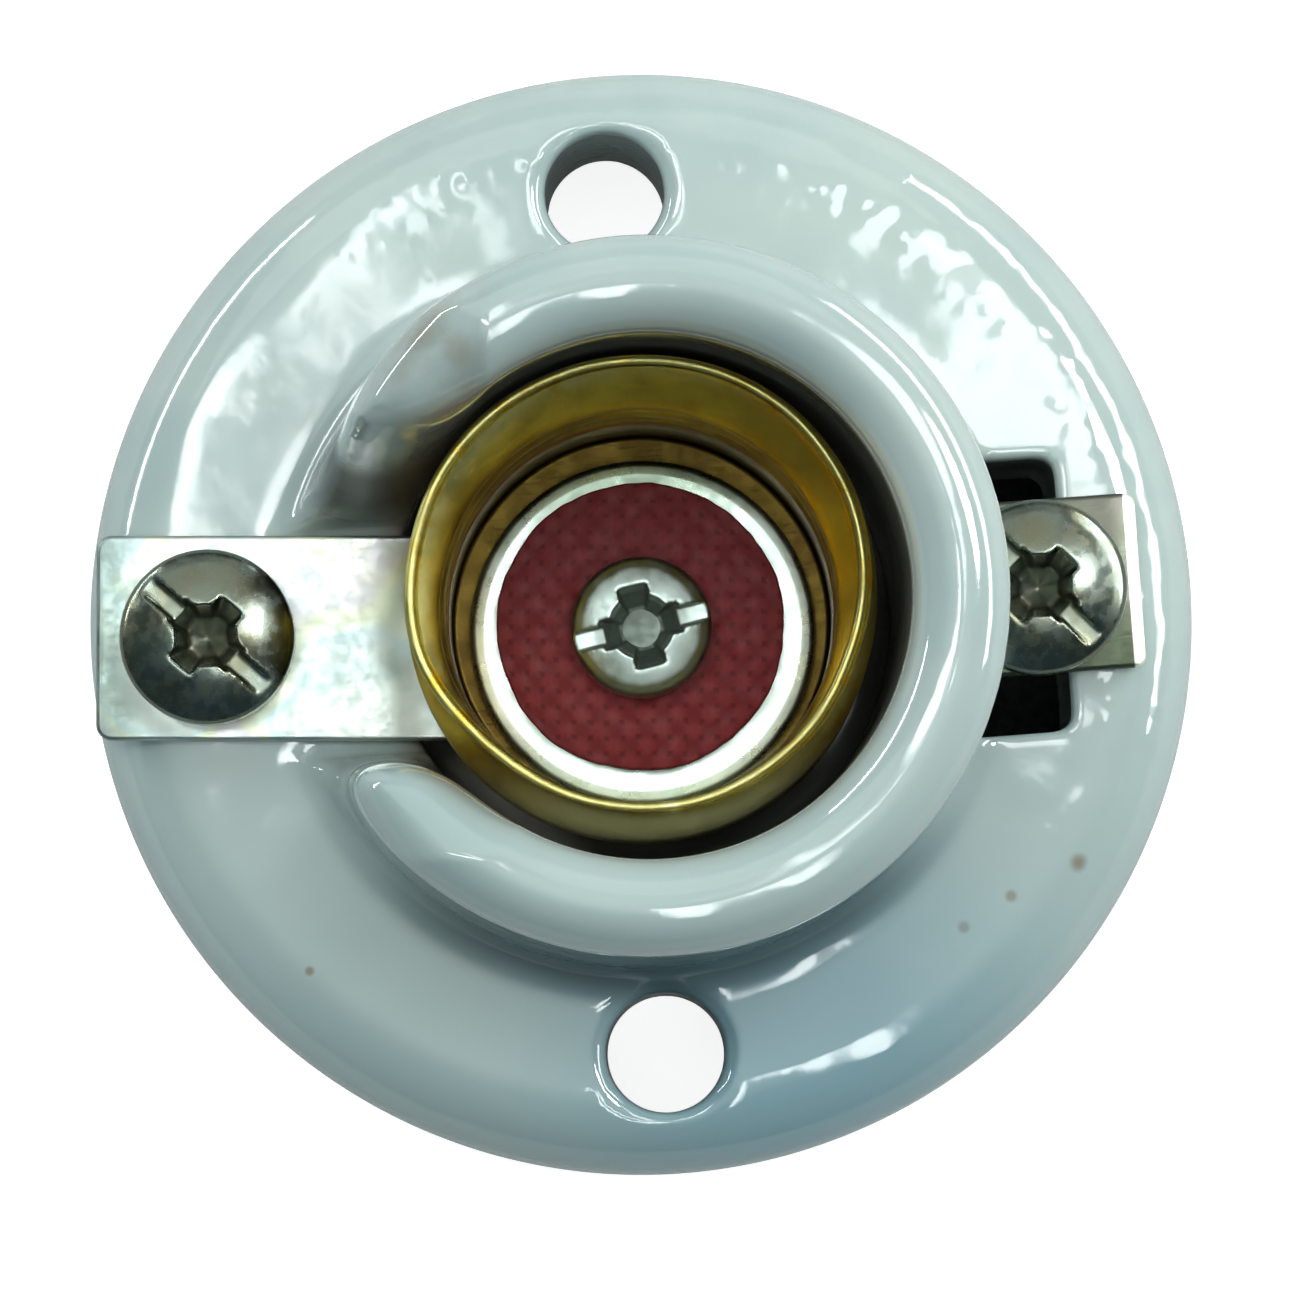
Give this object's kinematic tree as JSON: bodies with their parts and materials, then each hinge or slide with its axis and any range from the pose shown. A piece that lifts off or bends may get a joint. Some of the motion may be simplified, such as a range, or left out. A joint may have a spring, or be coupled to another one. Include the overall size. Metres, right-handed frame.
{
  "type": "porcelain lampholder",
  "caption": "Round glazed porcelain lampholder: raised collar around a brass screw shell, centre contact screw on a laminate disc, two screw terminals.",
  "frame": {"origin": "centre of the round base, on the plane it is screwed against", "axes": "+Z out of the lamp opening, +X from the shell terminal on the left to the contact terminal on the right, +Y towards one of the two mounting holes"},
  "size_m": [0.036, 0.036, 0.0252],
  "materials": {
    "glazed_porcelain": "clear glossy glaze over white porcelain, slightly blue-green",
    "dull_brass": "dull olive tarnish, brighter worn rim",
    "bright_zinc": "bright zinc plating, faint rainbow tint",
    "dull_zinc": "dull zinc plating",
    "fabric_laminate": "dark red woven fabric laminate",
    "contact_screw_steel": "satin plated steel",
    "screw_steel": "dark smooth plated steel"
  },
  "bodies": {
    "holder": {"porcelain_body": "glazed_porcelain", "screw_shell": "dull_brass", "shell_terminal_strap": "bright_zinc", "clamping_ring": "bright_zinc", "insulating_disc": "fabric_laminate", "contact_screw": "contact_screw_steel", "contact_strip": "dull_zinc", "contact_nut": "dull_zinc"},
    "left_clamp": {"left_terminal_washer": "screw_steel"},
    "left_screw": {"left_terminal_screw": "screw_steel"},
    "right_clamp": {"right_terminal_washer": "screw_steel"},
    "right_screw": {"right_terminal_screw": "screw_steel"}
  },
  "joints": [
    {"name": "left_clamp_lift", "type": "slide", "parent": "holder", "child": "left_clamp", "axis": [0, 0, 1], "range_m": [0, 0.002]},
    {"name": "left_screw_turn", "type": "hinge", "parent": "left_clamp", "child": "left_screw", "pos_m": [-0.01395, 0.0003, 0.0113], "axis": [0, 0, 1], "range_deg": [0, 1440]},
    {"name": "right_clamp_lift", "type": "slide", "parent": "holder", "child": "right_clamp", "axis": [0, 0, 1], "range_m": [0, 0.002]},
    {"name": "right_screw_turn", "type": "hinge", "parent": "right_clamp", "child": "right_screw", "pos_m": [0.01285, 0, 0.0113], "axis": [0, 0, 1], "range_deg": [0, 1440]}
  ],
  "couplings": [
    {"joint": "left_screw_turn", "follows": "left_clamp_lift", "rad_per_m": 12566},
    {"joint": "right_screw_turn", "follows": "right_clamp_lift", "rad_per_m": 12566}
  ]
}
